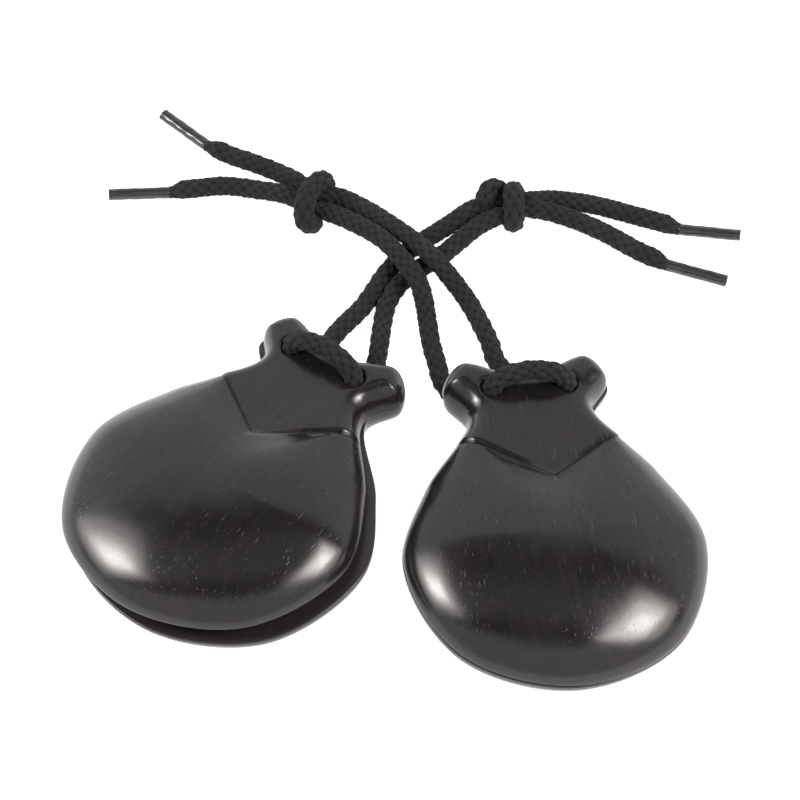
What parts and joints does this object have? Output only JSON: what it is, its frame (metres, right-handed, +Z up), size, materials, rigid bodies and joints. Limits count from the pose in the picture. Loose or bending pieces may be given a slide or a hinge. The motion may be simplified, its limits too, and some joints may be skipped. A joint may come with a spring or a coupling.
{
  "type": "castanets",
  "caption": "Dark hardwood hand castanets: hollowed shell halves hinged and held together by a black knotted cord with plastic-tipped ends, struck together with the fingers.",
  "frame": {"origin": "Middle of the two castanets on the plane they lie on, taken from the shells and hand loops.", "axes": "+X runs across both castanets, +Y from their lips towards their necks and the loose cord ends, +Z up."},
  "size_m": [0.1532, 0.1638, 0.0287],
  "materials": {
    "ebony": "satin_polished",
    "black_cotton": "matte_braided",
    "smoky_film": "translucent"
  },
  "bodies": {
    "left_lower": {"left_lower_shell": "ebony", "left_cord_leg_a": "black_cotton", "left_cord_leg_b": "black_cotton", "left_cord_knot": "black_cotton", "left_cord_tail_a": "black_cotton", "left_cord_tail_b": "black_cotton", "left_aglet_a": "smoky_film", "left_aglet_b": "smoky_film"},
    "left_upper": {"left_upper_shell": "ebony", "left_cord_loop": "black_cotton"},
    "right_lower": {"right_lower_shell": "ebony", "right_cord_leg_a": "black_cotton", "right_cord_leg_b": "black_cotton", "right_cord_knot": "black_cotton", "right_cord_tail_a": "black_cotton", "right_cord_tail_b": "black_cotton", "right_aglet_a": "smoky_film", "right_aglet_b": "smoky_film"},
    "right_upper": {"right_upper_shell": "ebony", "right_cord_loop": "black_cotton"}
  },
  "joints": [
    {"name": "left_shells_open", "type": "hinge", "parent": "left_lower", "child": "left_upper", "pos_m": [-0.00797, 0.03845, 0.01367], "axis": [-0.8172, 0.5674, -0.1011], "range_deg": [-2.6, 18]},
    {"name": "right_lift_off", "type": "slide", "parent": "left_lower", "child": "right_lower", "axis": [0, 0, 1], "range_m": [0, 0.15]},
    {"name": "right_shells_open", "type": "hinge", "parent": "right_lower", "child": "right_upper", "pos_m": [0.03025, 0.03521, 0.01274], "axis": [-0.9866, -0.138, 0.0872], "range_deg": [0, 20]}
  ]
}
